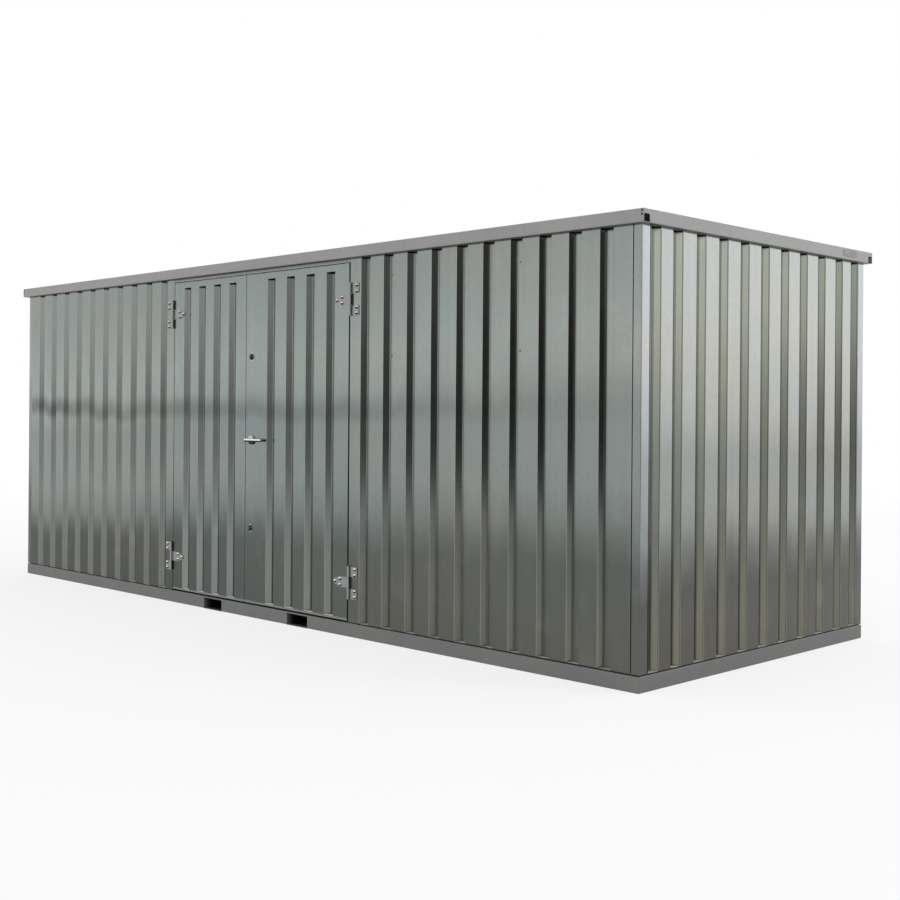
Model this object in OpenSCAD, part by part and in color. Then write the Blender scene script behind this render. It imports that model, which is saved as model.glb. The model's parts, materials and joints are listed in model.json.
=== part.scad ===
// Portable site cabin: a frame of folded steel rails and corner posts,
// clad with trapezoidal zinc sheet, with a pair of unequal door leaves in
// the long front and fork pockets through the base.
// X runs along the cabin, the doors face -Y, and Z = 0 is the ground.

/* [Cabin] */
// Length over the long walls
cabin_l = 6426; // [5400:1:7400]
// Width over the short walls
cabin_w = 2268; // [2000:1:2600]
// Height from the ground to the top of the roof rails
cabin_h = 2394; // [2200:1:2700]

/* [Wall sheet] */
// Distance from groove to groove
sheet_pitch = 207; // [180:1:240]
// Width of a groove at the outer face
groove_w = 88; // [70:1:110]
// Width of a groove at its bottom
groove_floor = 40; // [24:1:60]
// Depth of a groove
groove_d = 35; // [20:1:45]
// Thickness of the sheet
sheet_t = 1; // [0.6:0.1:2]
// Flat rib of a front sheet beside its corner post
first_rib = 124; // [60:1:140]
// Least flat that a sheet keeps at its ends
least_rib = 60; // [40:1:80]
// Flat edge of a short wall's sheet beside its corner post
edge_flat = 3; // [3:1:20]
// Inside radius of the sheet's folds
fold_r = 3; // [1:0.5:5]
// Gap between a sheet and its corner post
post_gap = 1.5; // [1:0.5:6]

/* [Corner posts] */
// Leg of a corner post on the long walls
post_long_leg = 54; // [45:1:80]
// Leg of a corner post on the short walls
post_short_leg = 70; // [45:1:90]
// Thickness of the post's folded plate
post_t = 3; // [2:0.5:5]

/* [Base frame] */
// Height of the base rails
base_h = 85; // [70:1:140]
// Thickness of the base rails
base_t = 4; // [2:0.5:6]
// Width of the rail's bottom flange
base_foot = 50; // [40:1:80]
// Width of the rail's top flange, which carries the floor
base_shelf = 70; // [60:1:110]
// Height of the upstand behind the wall sheets
upstand_h = 40; // [20:1:80]
// Height of the shadow gap between the base rails and the ledge under the walls
ledge_gap = 5; // [3:0.5:12]
// Thickness of that ledge
ledge_t = 3; // [2:0.5:6]
// Inside radius of the folds in rails, posts and leaf frames
bend_r = 3; // [1:0.5:5]
// Height of the floor's cross members
cross_h = 60; // [40:1:64]
// Width of the floor's cross members
cross_w = 40; // [30:1:60]
// Thickness of the cross members
cross_t = 3; // [2:0.5:5]
// Cross members outside each fork pocket
cross_count = 3; // [2:1:5]
// Thickness of the floor plate
deck_t = 3; // [2:0.5:6]

/* [Fork pockets] */
// Distance of a pocket's middle from the cabin's middle
pocket_x = 475; // [350:1:600]
// Clear width of a pocket
pocket_w = 210; // [160:1:240]
// Clear height of a pocket
pocket_h = 72; // [55:1:74]
// Thickness of the pocket's channel
pocket_t = 3; // [2:0.5:4]

/* [Roof frame] */
// Height of the roof rails
roof_h = 69; // [60:1:110]
// Distance the roof rails stand out from the walls
roof_over = 37; // [20:1:60]
// Thickness of the roof rails
roof_t = 3; // [2:0.5:5]
// Width of the rail's rim along its top
rim_w = 15; // [8:1:25]
// Distance from the wall's face to the far side of the gutter
gutter_w = 90; // [70:1:130]
// Distance of the roof sheet's top below the rim
roof_drop = 6; // [2:1:12]
// Distance the roof sheet reaches out over the gutter
roof_lap = 20; // [8:1:40]
// Height of the lip behind the wall sheets
lip_h = 40; // [20:1:60]
// Width of a drain slot in the short rails
slot_w = 48; // [20:1:60]
// Height of a drain slot
slot_h = 40; // [15:1:50]
// Radius of a drain slot's upper corners
slot_r = 9; // [3:1:15]
// Bearers under the roof sheet
bearer_count = 5; // [3:1:8]
// Side of a bearer's square tube
bearer_w = 40; // [30:1:60]
// Wall of a bearer's tube
bearer_t = 2; // [1.5:0.5:4]

/* [Doorway] */
// Width of the doorway between the wall sheets
door_w = 1970; // [1500:1:2200]
// Width of a jamb tube
jamb_w = 60; // [40:1:66]
// Depth of a jamb tube
jamb_d = 48; // [40:1:80]
// Wall of the jamb and header tubes
jamb_t = 3; // [2:0.5:5]
// Height of the header over the leaves
header_h = 20; // [12:1:60]

/* [Door leaves] */
// Place of the seam between the leaves, from the cabin's middle
seam_x = -101.5; // [-300:0.5:300]
// Gap between the leaves
seam_gap = 6; // [6:0.5:12]
// Gap between a leaf and its jamb
hinge_gap = 7; // [6:0.5:12]
// Gap between the leaves and the header
head_gap = 6; // [5:0.5:12]
// Gap between the leaves and the base rail
sill_gap = 12; // [6:0.5:20]
// Depth of a leaf
leaf_d = 37; // [36:1:60]
// Height of a leaf's top rail
leaf_head = 43; // [30:1:80]
// Height of a leaf's bottom rail
leaf_foot = 15; // [10:1:60]
// Width of a leaf's stiles
stile_w = 40; // [30:1:60]
// Thickness of a leaf's folded frame
leaf_t = 2; // [1.5:0.5:3]
// Grooves in a leaf
leaf_grooves = 4; // [2:1:5]
// Flat of the right leaf beside its hinges
right_hinge_flat = 142; // [90:1:180]
// Flat of the right leaf beside the seam
right_seam_flat = 230; // [180:1:280]
// Flat of the left leaf beside its hinges and the seam
left_flat = 117; // [90:1:160]

/* [Hinges] */
// Height of a hinge's two wall plates together
hinge_h = 200; // [160:1:260]
// Height of a strap and its knuckle
strap_h = 66; // [40:1:80]
// Gap between a strap's knuckle and the wall plates
knuckle_gap = 4; // [2:0.5:8]
// Distance of the hinge pin from the doorway's edge, along the wall
pin_out = 8; // [6:1:20]
// Distance of the hinge pin in front of the wall's face
pin_front = 9.5; // [9:0.5:16]
// Radius of a knuckle
knuckle_r = 8.5; // [7:0.5:9]
// Radius of the hinge pin
pin_r = 5; // [3:0.5:6]
// Running clearance around the hinge pin
pin_clear = 0.05; // [0.02:0.01:0.1]
// Radius of the pin's head
pin_head_r = 7.5; // [6:0.5:9]
// Height of the pin's head
pin_head_h = 4; // [2:0.5:8]
// Thickness of the hinge plates
plate_t = 4; // [3:0.5:6]
// Width of a wall plate, from the pin
plate_w = 74; // [50:1:90]
// Length of a strap, from the pin
strap_l = 150; // [120:1:200]
// Length of a strap's full height, from the pin
strap_full = 88; // [60:1:110]
// Radius of a strap's tip
tip_r = 16; // [10:1:24]
// Gap between a strap's root and the wall
root_gap = 3; // [2:0.5:4]
// Width of the wall's cutout beside a strap's knuckle
cutout_w = 13; // [8:1:24]
// Height of the lower hinges above the foot of the leaves
hinge_low = 236; // [160:1:500]
// Depth of the upper hinges below the head of the leaves
hinge_high = 227; // [160:1:500]

/* [Handle] */
// Height of the handle above the ground
handle_z = 1188; // [900:1:1300]
// Distance of the handle from the right leaf's free edge
handle_edge = 70; // [45:1:100]
// Radius of the rose
rose_r = 30; // [20:1:36]
// Thickness of the rose
rose_t = 12; // [5:1:16]
// Radius of the lever's neck and of the lever where it leaves the neck
lever_r = 12.5; // [8:0.5:15]
// Radius of the lever's free end
lever_end_r = 10; // [7:0.5:15]
// Running clearance around the neck
neck_clear = 0.05; // [0.02:0.01:0.1]
// Distance of the lever's middle in front of the leaf
lever_out = 52; // [45:1:80]
// Length of the lever, from its neck
lever_l = 172; // [100:1:190]
// Gap between the neck's end and the leaf
neck_gap = 1; // [0.5:0.5:3]

/* [Lock knobs] */
// Height halfway between the knobs, above the ground
knob_mid_z = 1173; // [1000:1:1300]
// Distance of each knob above and below that height
knob_spread = 573; // [300:1:700]
// Distance of the knobs from the right leaf's free edge
knob_edge = 63; // [45:1:100]
// Radius of a knob
knob_r = 22; // [15:1:30]
// Height of a knob's straight edge
knob_edge_h = 5; // [2:1:10]
// Height of a knob's dome
knob_dome = 11; // [6:1:15]

/* [Hidden] */
$fn = 64;

// Colours
zinc = [0.66, 0.69, 0.69];
rail_grey = [0.62, 0.63, 0.62];
base_grey = [0.45, 0.46, 0.46];
steel = [0.72, 0.73, 0.74];
deck_grey = [0.40, 0.41, 0.41];

// Turns that carry the front's frame to each side of the cabin
FRONT = 0;
RIGHT = 90;
BACK = 180;
LEFT = 270;

// A cut reaches this far past the face it opens
over = 1;

// Levels
deck_z = base_h + deck_t;
ledge_z = base_h + ledge_gap;
wall_z0 = ledge_z + ledge_t;
wall_z1 = cabin_h - roof_h;
wall_h = wall_z1 - wall_z0;
leaf_z0 = base_h + sill_gap;
leaf_z1 = wall_z1 - header_h - head_gap;
roof_sheet_z = cabin_h - roof_drop;

// Sheet profile
flank = (groove_w - groove_floor) / 2;
bend = atan2(groove_d, flank);
fold_steps = 3;
bend_steps = 5;
tip_steps = 14;
sheet_d = groove_d + sheet_t;
roof_seat_z = roof_sheet_z - sheet_d;

// Wall lengths between the corner posts and the doorway
panel_l = (cabin_l - door_w) / 2 - post_long_leg - post_gap;
back_sheet_l = (cabin_l - 2 * (post_long_leg + post_gap)) / 3;
side_sheet_l = cabin_w - 2 * (post_short_leg + post_gap);
roof_sheet_l = (cabin_l - 2 * (gutter_w - roof_lap)) / 3;
roof_sheet_w = cabin_w - 2 * (gutter_w - roof_lap);

// Door leaves
leaf_h = leaf_z1 - leaf_z0;
hinge_edge_x = door_w / 2 - hinge_gap;
right_leaf_w = hinge_edge_x - seam_x - seam_gap / 2;
left_leaf_w = hinge_edge_x + seam_x - seam_gap / 2;
pin_x = door_w / 2 + pin_out;
hinge_levels = [leaf_z0 + hinge_low, leaf_z1 - hinge_high];
handle_u = right_leaf_w - handle_edge;
knob_u = right_leaf_w - knob_edge;

// How many grooves fit in a length, and where they start
function groove_count(room, pitch) = floor((room - groove_w) / pitch) + 1;
function group_l(count, pitch) = (count - 1) * pitch + groove_w;
function row(first, count, pitch) = [for (i = [0 : count - 1]) first + i * pitch];

function centred_row(length) =
  let (count = groove_count(length - 2 * least_rib, sheet_pitch))
  row((length - group_l(count, sheet_pitch)) / 2, count, sheet_pitch);

function front_row() =
  let (room = panel_l - first_rib - jamb_w - flank)
  row(first_rib, groove_count(room, sheet_pitch), sheet_pitch);

// A short wall has a groove beside each corner post and an even row between them
function side_row() = concat(
  [edge_flat],
  let (
    margin = edge_flat + groove_w + least_rib,
    count = groove_count(side_sheet_l - 2 * margin, sheet_pitch)
  )
  row((side_sheet_l - group_l(count, sheet_pitch)) / 2, count, sheet_pitch),
  [side_sheet_l - edge_flat - groove_w]
);

function leaf_row(leaf_w, hinge_flat, seam_flat) =
  let (pitch = (leaf_w - hinge_flat - seam_flat - groove_w) / (leaf_grooves - 1))
  row(hinge_flat, leaf_grooves, pitch);

// Points of an arc about its centre, from one angle to another
function arc(centre, radius, from, to, steps) = [
  for (i = [0 : steps])
    let (a = from + (to - from) * i / steps)
    centre + radius * [cos(a), sin(a)]
];

function fold(centre, radius, from, to) = arc(centre, radius, from, to, fold_steps);

// One groove along the sheet's outer face, or along its inner face.
// Both faces of a fold turn about one centre, so the sheet keeps its thickness.
function groove(g, inner) =
  let (
    edge_r = inner ? fold_r : fold_r + sheet_t,
    floor_r = inner ? fold_r + sheet_t : fold_r,
    edge_in = (fold_r + sheet_t) * tan(bend / 2),
    floor_in = flank + fold_r * tan(bend / 2),
    edge_y = fold_r + sheet_t,
    floor_y = groove_d - fold_r
  )
  concat(
    fold([g - edge_in, edge_y], edge_r, -90, bend - 90),
    fold([g + floor_in, floor_y], floor_r, 90 + bend, 90),
    fold([g + groove_w - floor_in, floor_y], floor_r, 90, 90 - bend),
    fold([g + groove_w + edge_in, edge_y], edge_r, -90 - bend, -90)
  );

function reversed(points) = [for (i = [len(points) - 1 : -1 : 0]) points[i]];

// Outline of a folded sheet: along its outer face, and back along its inner face
function sheet_outline(length, starts) = concat(
  [[0, 0]],
  [for (g = starts) each groove(g, false)],
  [[length, 0], [length, sheet_t]],
  reversed([for (g = starts) each groove(g, true)]),
  [[0, sheet_t]]
);

// A strip folded along a path, which is its outer face.
// Every bend turns left, towards the inner face, and both faces turn about one centre.
function unit(v) = v / norm(v);
function left_of(ahead) = [-ahead[1], ahead[0]];

function bend_points(before, corner, after, thickness, inner) =
  let (
    ahead = unit(corner - before),
    turn = acos(ahead * unit(after - corner)),
    outer_r = bend_r + thickness,
    centre = corner + outer_r * (left_of(ahead) - tan(turn / 2) * ahead),
    from = atan2(-ahead[0], ahead[1])
  )
  arc(centre, inner ? bend_r : outer_r, from, from + turn, bend_steps);

function bends(path, thickness, inner) = [
  for (i = [1 : len(path) - 2])
    each bend_points(path[i - 1], path[i], path[i + 1], thickness, inner)
];

function strip(path, thickness) =
  let (
    last = len(path) - 1,
    first_in = thickness * left_of(unit(path[1] - path[0])),
    last_in = thickness * left_of(unit(path[last] - path[last - 1]))
  )
  concat(
    [path[0]],
    bends(path, thickness, false),
    [path[last], path[last] + last_in],
    reversed(bends(path, thickness, true)),
    [path[0] + first_in]
  );

// Frame of one side: x along the wall, y inward from its face, z up
module on_side(turn) {
  reach = turn == FRONT || turn == BACK ? cabin_w / 2 : cabin_l / 2;
  rotate([0, 0, turn]) translate([0, -reach, 0]) children();
}

module both_ways() {
  children();
  mirror([1, 0, 0]) children();
}

module box_between(low, high) {
  translate(low) cube(high - low);
}

// A section in y and z, run along x
module run(length, section) {
  translate([-length / 2, 0, 0])
    rotate([90, 0, 90])
      linear_extrude(length) polygon(section);
}

// Cuts both ends of a rail at 45 degrees, from its outer face inward
module mitred(length, face_y, depth, low, high) {
  intersection() {
    children();
    translate([0, face_y, low])
      linear_extrude(high - low)
        polygon([
          [-length / 2, 0],
          [length / 2, 0],
          [length / 2 - depth, depth],
          [-length / 2 + depth, depth]
        ]);
  }
}

module sheet(length, height, starts) {
  linear_extrude(height) polygon(sheet_outline(length, starts));
}

module tube(low, high, wall) {
  size = high - low;
  translate(low)
    linear_extrude(size[2])
      difference() {
        square([size[0], size[1]]);
        translate([wall, wall]) square([size[0] - 2 * wall, size[1] - 2 * wall]);
      }
}

// Base frame

module base_profile(length) {
  run(length, strip([
    [base_shelf, base_h], [0, base_h], [0, 0], [base_foot, 0]
  ], base_t));
}

// The upstand stands on the rail behind the wall sheets and holds the ledge under them
module upstand(from, to) {
  back = sheet_d + base_t;
  box_between([from, sheet_d, base_h - over], [to, back, base_h + upstand_h]);
  box_between([from, 0, ledge_z], [to, back, wall_z0]);
}

module pocket_notch(x) {
  half = pocket_w / 2 + pocket_t;
  box_between([x - half, -over, -over], [x + half, base_foot + over, pocket_h + 2 * pocket_t]);
}

module base_long_rail(doorway) {
  gap = doorway ? door_w / 2 + jamb_w : 0;
  color(base_grey)
    difference() {
      mitred(cabin_l, 0, base_shelf, 0, base_h + upstand_h)
        union() {
          base_profile(cabin_l);
          both_ways() upstand(gap, cabin_l / 2);
        }
      both_ways() pocket_notch(pocket_x);
    }
}

module base_short_rail() {
  color(base_grey)
    mitred(cabin_w, 0, base_shelf, 0, base_h + upstand_h)
      union() {
        base_profile(cabin_w);
        upstand(-cabin_w / 2, cabin_w / 2);
      }
}

module base_front_rail() {
  on_side(FRONT) base_long_rail(true);
}

module base_back_rail() {
  on_side(BACK) base_long_rail(false);
}

module base_left_rail() {
  on_side(LEFT) base_short_rail();
}

module base_right_rail() {
  on_side(RIGHT) base_short_rail();
}

module cross_member(x) {
  length = cabin_w - 2 * base_shelf;
  translate([x - cross_w / 2, 0, 0])
    rotate([90, 0, 0])
      linear_extrude(length, center = true)
        polygon(strip([
          [cross_w, base_h], [0, base_h],
          [0, base_h - cross_h], [cross_w, base_h - cross_h]
        ], cross_t));
}

module base_cross_members() {
  near = pocket_x + pocket_w / 2 + pocket_t;
  far = cabin_l / 2 - base_shelf;
  step = (far - near) / (cross_count + 1);
  color(base_grey) {
    cross_member(0);
    for (i = [1 : cross_count]) both_ways() cross_member(near + i * step);
  }
}

module fork_pocket(x) {
  half = pocket_w / 2 + pocket_t;
  color(base_grey)
    translate([x, cabin_w / 2, 0])
      rotate([90, 0, 0])
        tube([-half, 0, 0], [half, pocket_h + 2 * pocket_t, cabin_w], pocket_t);
}

module fork_pocket_left() {
  fork_pocket(-pocket_x);
}

module fork_pocket_right() {
  fork_pocket(pocket_x);
}

module jamb_room() {
  on_side(FRONT)
    both_ways()
      box_between(
        [door_w / 2, sheet_t, base_h - over],
        [door_w / 2 + jamb_w, sheet_t + jamb_d, deck_z + over]
      );
}

module floor_deck() {
  inset = sheet_d + base_t;
  color(deck_grey)
    difference() {
      translate([-cabin_l / 2 + inset, -cabin_w / 2 + inset, base_h])
        cube([cabin_l - 2 * inset, cabin_w - 2 * inset, deck_t]);
      jamb_room();
    }
}

// Corner posts: an angle whose edges turn in behind the wall sheets

module corner_post() {
  color(zinc)
    translate([0, 0, wall_z0])
      linear_extrude(wall_h)
        polygon(strip([
          [sheet_d, post_short_leg], [0, post_short_leg], [0, 0],
          [post_long_leg, 0], [post_long_leg, sheet_d]
        ], post_t));
}

module post_front_left() {
  translate([-cabin_l / 2, -cabin_w / 2, 0]) corner_post();
}

module post_front_right() {
  mirror([1, 0, 0]) post_front_left();
}

module post_back_left() {
  mirror([0, 1, 0]) post_front_left();
}

module post_back_right() {
  mirror([0, 1, 0]) post_front_right();
}

// Wall sheets

module wall_sheet(from, length, starts) {
  color(zinc) translate([from, 0, wall_z0]) sheet(length, wall_h, starts);
}

module front_wall_left() {
  difference() {
    on_side(FRONT)
      wall_sheet(-cabin_l / 2 + post_long_leg + post_gap, panel_l, front_row());
    knuckle_cutouts();
  }
}

module front_wall_right() {
  mirror([1, 0, 0]) front_wall_left();
}

module left_wall() {
  on_side(LEFT) wall_sheet(-side_sheet_l / 2, side_sheet_l, side_row());
}

module right_wall() {
  on_side(RIGHT) wall_sheet(-side_sheet_l / 2, side_sheet_l, side_row());
}

// Seen from behind, the back wall's sheets run from right to left
module back_sheet(place) {
  from = (place - 0.5) * back_sheet_l;
  on_side(BACK) wall_sheet(from, back_sheet_l, centred_row(back_sheet_l));
}

module back_wall_left() {
  back_sheet(1);
}

module back_wall_middle() {
  back_sheet(0);
}

module back_wall_right() {
  back_sheet(-1);
}

// Doorway

module door_jamb_left() {
  color(rail_grey)
    difference() {
      on_side(FRONT)
        tube(
          [-door_w / 2 - jamb_w, sheet_t, base_h],
          [-door_w / 2, sheet_t + jamb_d, wall_z1],
          jamb_t
        );
      knuckle_cutouts();
    }
}

module door_jamb_right() {
  mirror([1, 0, 0]) door_jamb_left();
}

module door_header() {
  low = wall_z1 - header_h;
  deep = sheet_t + jamb_d;
  color(rail_grey)
    on_side(FRONT)
      run(door_w, strip([
        [0, wall_z1], [0, low], [deep, low], [deep, wall_z1]
      ], jamb_t));
}

// Roof frame: each rail is a gutter with a lip hanging behind the wall sheets

module roof_profile(length) {
  run(length, strip([
    [rim_w - roof_over, cabin_h], [-roof_over, cabin_h], [-roof_over, wall_z1],
    [gutter_w, wall_z1], [gutter_w, roof_seat_z]
  ], roof_t));
}

module lip(from, to) {
  box_between([from, sheet_d, wall_z1 - lip_h], [to, sheet_d + roof_t, wall_z1 + over]);
}

module roof_mitre(length) {
  mitred(length, -roof_over, roof_over + gutter_w, wall_z1 - lip_h, cabin_h) children();
}

module roof_long_rail(doorway) {
  gap = doorway ? door_w / 2 + jamb_w : 0;
  length = cabin_l + 2 * roof_over;
  color(rail_grey)
    roof_mitre(length)
      union() {
        roof_profile(length);
        both_ways() lip(gap, cabin_l / 2);
      }
}

module drain_slot(length) {
  end = length / 2 - roof_t;
  low = wall_z1 + roof_t;
  corner_z = low + slot_h - slot_r;
  translate([0, roof_t - roof_over + over, 0])
    rotate([90, 0, 0])
      linear_extrude(roof_t + 2 * over)
        polygon(concat(
          [[end - slot_w, low], [end, low]],
          arc([end - slot_r, corner_z], slot_r, 0, 90, bend_steps),
          arc([end - slot_w + slot_r, corner_z], slot_r, 90, 180, bend_steps)
        ));
}

module roof_short_rail() {
  length = cabin_w + 2 * roof_over;
  color(rail_grey)
    difference() {
      roof_mitre(length)
        union() {
          roof_profile(length);
          lip(-cabin_w / 2, cabin_w / 2);
        }
      both_ways() drain_slot(length);
    }
}

module roof_front_rail() {
  on_side(FRONT) roof_long_rail(true);
}

module roof_back_rail() {
  on_side(BACK) roof_long_rail(false);
}

module roof_left_rail() {
  on_side(LEFT) roof_short_rail();
}

module roof_right_rail() {
  on_side(RIGHT) roof_short_rail();
}

module bearer(x) {
  length = cabin_w - 2 * gutter_w;
  translate([x - bearer_w / 2, length / 2, roof_seat_z - bearer_w])
    rotate([90, 0, 0])
      tube([0, 0, 0], [bearer_w, bearer_w, length], bearer_t);
}

module roof_bearers() {
  step = cabin_l / (bearer_count + 1);
  color(rail_grey)
    for (i = [1 : bearer_count]) bearer(-cabin_l / 2 + i * step);
}

// Roof sheets: ribs up, running from gutter to gutter

module roof_sheet(place) {
  color(zinc)
    translate([(place - 0.5) * roof_sheet_l, roof_sheet_w / 2, roof_sheet_z])
      rotate([90, 0, 0])
        mirror([0, 1, 0])
          sheet(roof_sheet_l, roof_sheet_w, centred_row(roof_sheet_l));
}

module roof_sheet_left() {
  roof_sheet(-1);
}

module roof_sheet_middle() {
  roof_sheet(0);
}

module roof_sheet_right() {
  roof_sheet(1);
}

// Hinges, drawn for the left side of the doorway and mirrored to the right

module at_left_hinges() {
  on_side(FRONT)
    for (level = hinge_levels)
      translate([-pin_x, -pin_front, level]) children();
}

module knuckle(low, high) {
  translate([0, 0, low]) cylinder(r = knuckle_r, h = high - low);
}

// Room behind the straps' knuckles, through the wall sheet and the jamb's front
module knuckle_cutouts() {
  half = strap_h / 2;
  deep = sheet_t + jamb_t + over;
  at_left_hinges()
    box_between(
      [-knuckle_r - cutout_w, pin_front - over, -half],
      [pin_out + over, pin_front + deep, half]
    );
}

module pin_bore() {
  translate([0, 0, -hinge_h / 2 - over])
    cylinder(r = pin_r + pin_clear, h = hinge_h + 2 * over);
}

module wall_plate(low, high) {
  difference() {
    union() {
      knuckle(low, high);
      box_between([-plate_w, pin_front - plate_t, low], [0, pin_front, high]);
    }
    pin_bore();
  }
}

module left_hinge_plates() {
  inner = strap_h / 2 + knuckle_gap;
  color(steel)
    at_left_hinges() {
      wall_plate(inner, hinge_h / 2);
      wall_plate(-hinge_h / 2, -inner);
    }
}

module right_hinge_plates() {
  mirror([1, 0, 0]) left_hinge_plates();
}

module left_hinge_pins() {
  color(steel)
    at_left_hinges() {
      translate([0, 0, -hinge_h / 2]) cylinder(r = pin_r, h = hinge_h);
      translate([0, 0, hinge_h / 2]) cylinder(r = pin_head_r, h = pin_head_h);
    }
}

module right_hinge_pins() {
  mirror([1, 0, 0]) left_hinge_pins();
}

// A strap's outline: full height at its root, then straight to a round tip
module strap_outline(from) {
  half = strap_h / 2;
  tip_x = strap_l - tip_r;
  corner = [strap_full - tip_x, half];
  tangent = atan2(corner[1], corner[0]) - acos(tip_r / norm(corner));
  polygon(concat(
    [[from, half], [from, -half], [strap_full, -half]],
    arc([tip_x, 0], tip_r, -tangent, tangent, tip_steps),
    [[strap_full, half]]
  ));
}

// A strap lies on its leaf, and its root is raised clear of the wall
module strap() {
  half = strap_h / 2;
  leaf_from = pin_out + hinge_gap;
  root_y = pin_front - root_gap;
  difference() {
    union() {
      knuckle(-half, half);
      box_between([0, root_y - plate_t, -half], [leaf_from + plate_t, root_y, half]);
      translate([0, pin_front, 0])
        rotate([90, 0, 0])
          linear_extrude(plate_t) strap_outline(leaf_from);
    }
    pin_bore();
  }
}

module left_leaf_straps() {
  color(steel) at_left_hinges() strap();
}

module right_leaf_straps() {
  mirror([1, 0, 0]) left_leaf_straps();
}

// Door leaves, drawn from the hinge edge towards the seam

module at_left_leaf() {
  on_side(FRONT) translate([-hinge_edge_x, 0, 0]) children();
}

module at_right_leaf() {
  mirror([1, 0, 0]) at_left_leaf() children();
}

module leaf_sheet(leaf_w, starts) {
  color(zinc)
    translate([0, 0, leaf_z0 + leaf_foot])
      sheet(leaf_w, leaf_h - leaf_foot - leaf_head, starts);
}

// A folded rail, open below: face, web and back
module leaf_rail(leaf_w, low, high) {
  translate([leaf_w / 2, 0, 0])
    run(leaf_w, strip([[leaf_d, low], [leaf_d, high], [0, high], [0, low]], leaf_t));
}

// A folded stile behind the sheet, open towards the middle of the leaf
module stile() {
  translate([0, 0, leaf_z0])
    linear_extrude(leaf_h)
      polygon(strip([
        [stile_w, leaf_d], [0, leaf_d], [0, sheet_t], [stile_w, sheet_t]
      ], leaf_t));
}

module leaf_frame(leaf_w) {
  color(zinc)
    union() {
      leaf_rail(leaf_w, leaf_z1 - leaf_head, leaf_z1);
      leaf_rail(leaf_w, leaf_z0, leaf_z0 + leaf_foot);
      stile();
      translate([leaf_w, 0, 0]) mirror([1, 0, 0]) stile();
    }
}

module left_leaf_sheet() {
  at_left_leaf() leaf_sheet(left_leaf_w, leaf_row(left_leaf_w, left_flat, left_flat));
}

module left_leaf_frame() {
  at_left_leaf() leaf_frame(left_leaf_w);
}

module right_leaf_sheet() {
  at_right_leaf()
    leaf_sheet(right_leaf_w, leaf_row(right_leaf_w, right_hinge_flat, right_seam_flat));
}

module right_leaf_frame() {
  at_right_leaf() leaf_frame(right_leaf_w);
}

// Knobs and handle of the right leaf, turned about an axis that points out of the leaf

module on_right_leaf(u, z) {
  at_right_leaf() translate([u, 0, z]) rotate([90, 0, 0]) children();
}

module knob() {
  cylinder(r = knob_r, h = knob_edge_h);
  dome_r = (knob_r * knob_r + knob_dome * knob_dome) / (2 * knob_dome);
  translate([0, 0, knob_edge_h])
    intersection() {
      translate([0, 0, knob_dome - dome_r]) sphere(r = dome_r);
      cylinder(r = knob_r + over, h = knob_dome + over);
    }
}

module lock_knobs() {
  color(steel)
    for (side = [-1, 1]) on_right_leaf(knob_u, knob_mid_z + side * knob_spread) knob();
}

module handle_rose() {
  color(steel)
    on_right_leaf(handle_u, handle_z)
      difference() {
        cylinder(r = rose_r, h = rose_t);
        translate([0, 0, -over]) cylinder(r = lever_r + neck_clear, h = rose_t + 2 * over);
      }
}

// The lever points from its neck towards the hinges and thins towards its end
module handle_lever() {
  color(steel)
    on_right_leaf(handle_u, handle_z)
      union() {
        translate([0, 0, neck_gap]) cylinder(r = lever_r, h = lever_out - neck_gap);
        translate([0, 0, lever_out]) {
          sphere(r = lever_r);
          rotate([0, -90, 0]) cylinder(r1 = lever_r, r2 = lever_end_r, h = lever_l - lever_end_r);
          translate([lever_end_r - lever_l, 0, 0]) sphere(r = lever_end_r);
        }
      }
}

base_front_rail();
base_back_rail();
base_left_rail();
base_right_rail();
base_cross_members();
fork_pocket_left();
fork_pocket_right();
floor_deck();
post_front_left();
post_front_right();
post_back_left();
post_back_right();
front_wall_left();
front_wall_right();
left_wall();
right_wall();
back_wall_left();
back_wall_middle();
back_wall_right();
door_jamb_left();
door_jamb_right();
door_header();
roof_front_rail();
roof_back_rail();
roof_left_rail();
roof_right_rail();
roof_bearers();
roof_sheet_left();
roof_sheet_middle();
roof_sheet_right();
left_hinge_plates();
left_hinge_pins();
right_hinge_plates();
right_hinge_pins();
left_leaf_sheet();
left_leaf_frame();
left_leaf_straps();
right_leaf_sheet();
right_leaf_frame();
right_leaf_straps();
lock_knobs();
handle_rose();
handle_lever();
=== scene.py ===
# %% [markdown]
# # A portable site cabin
# The cabin is a frame of folded rails and posts, clad with trapezoidal zinc sheet.
# Its solids come ready made and ready placed, so this lesson gives them their finishes,
# adds the small fasteners that a builder's drawing leaves out, and sets up the light and camera.

# %% Load the solids
import json
import math
from types import SimpleNamespace

import bpy
from mathutils import Matrix, Vector


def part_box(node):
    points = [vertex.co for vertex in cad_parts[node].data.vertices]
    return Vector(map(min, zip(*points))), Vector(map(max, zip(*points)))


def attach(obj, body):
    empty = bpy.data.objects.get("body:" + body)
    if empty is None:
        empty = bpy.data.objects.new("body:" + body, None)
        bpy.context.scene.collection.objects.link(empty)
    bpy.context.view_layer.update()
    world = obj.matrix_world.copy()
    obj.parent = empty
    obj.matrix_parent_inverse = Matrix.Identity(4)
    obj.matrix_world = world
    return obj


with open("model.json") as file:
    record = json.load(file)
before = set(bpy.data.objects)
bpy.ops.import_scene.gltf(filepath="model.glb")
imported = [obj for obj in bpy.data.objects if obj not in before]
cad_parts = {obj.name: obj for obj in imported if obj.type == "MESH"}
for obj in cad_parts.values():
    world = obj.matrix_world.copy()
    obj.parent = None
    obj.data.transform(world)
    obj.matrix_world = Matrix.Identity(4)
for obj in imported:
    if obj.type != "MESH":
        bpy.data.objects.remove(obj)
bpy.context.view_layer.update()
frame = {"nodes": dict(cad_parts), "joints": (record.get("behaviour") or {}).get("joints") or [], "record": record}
nodes = frame["nodes"]

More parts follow.
